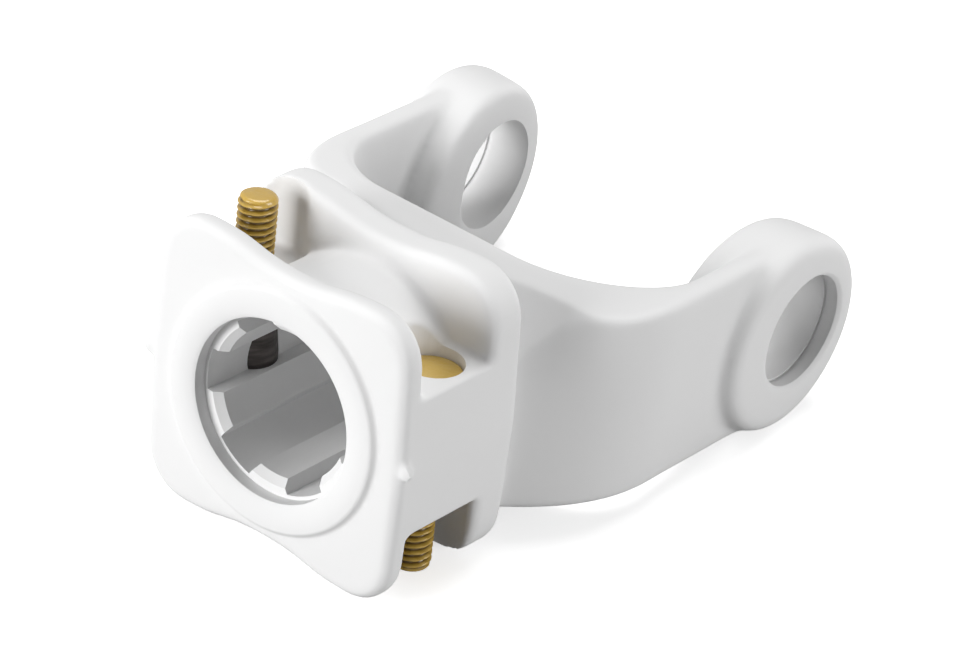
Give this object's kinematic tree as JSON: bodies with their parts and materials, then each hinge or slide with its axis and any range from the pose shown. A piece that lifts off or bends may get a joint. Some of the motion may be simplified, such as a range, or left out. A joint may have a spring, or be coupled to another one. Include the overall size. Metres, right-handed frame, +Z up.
{
  "type": "clamp yoke",
  "caption": "Forged drive-shaft yoke: a square clamp hub with a splined bore and cross clamp pins, and a fork whose two ears are bored for a universal-joint cross.",
  "frame": {"origin": "joint centre, where the shaft axis meets the axis of the two ear bores", "axes": "+X along the shaft axis from the splined hub to the ears, +Y along the ear bores, +Z up, square to both"},
  "size_m": [0.1601, 0.1166, 0.0744],
  "materials": {
    "gold_paint": "gloss",
    "gold_paint_pins": "gloss"
  },
  "bodies": {
    "root": {"yoke": "gold_paint", "clamp_pin_left": "gold_paint_pins", "clamp_pin_right": "gold_paint_pins"}
  },
  "joints": []
}
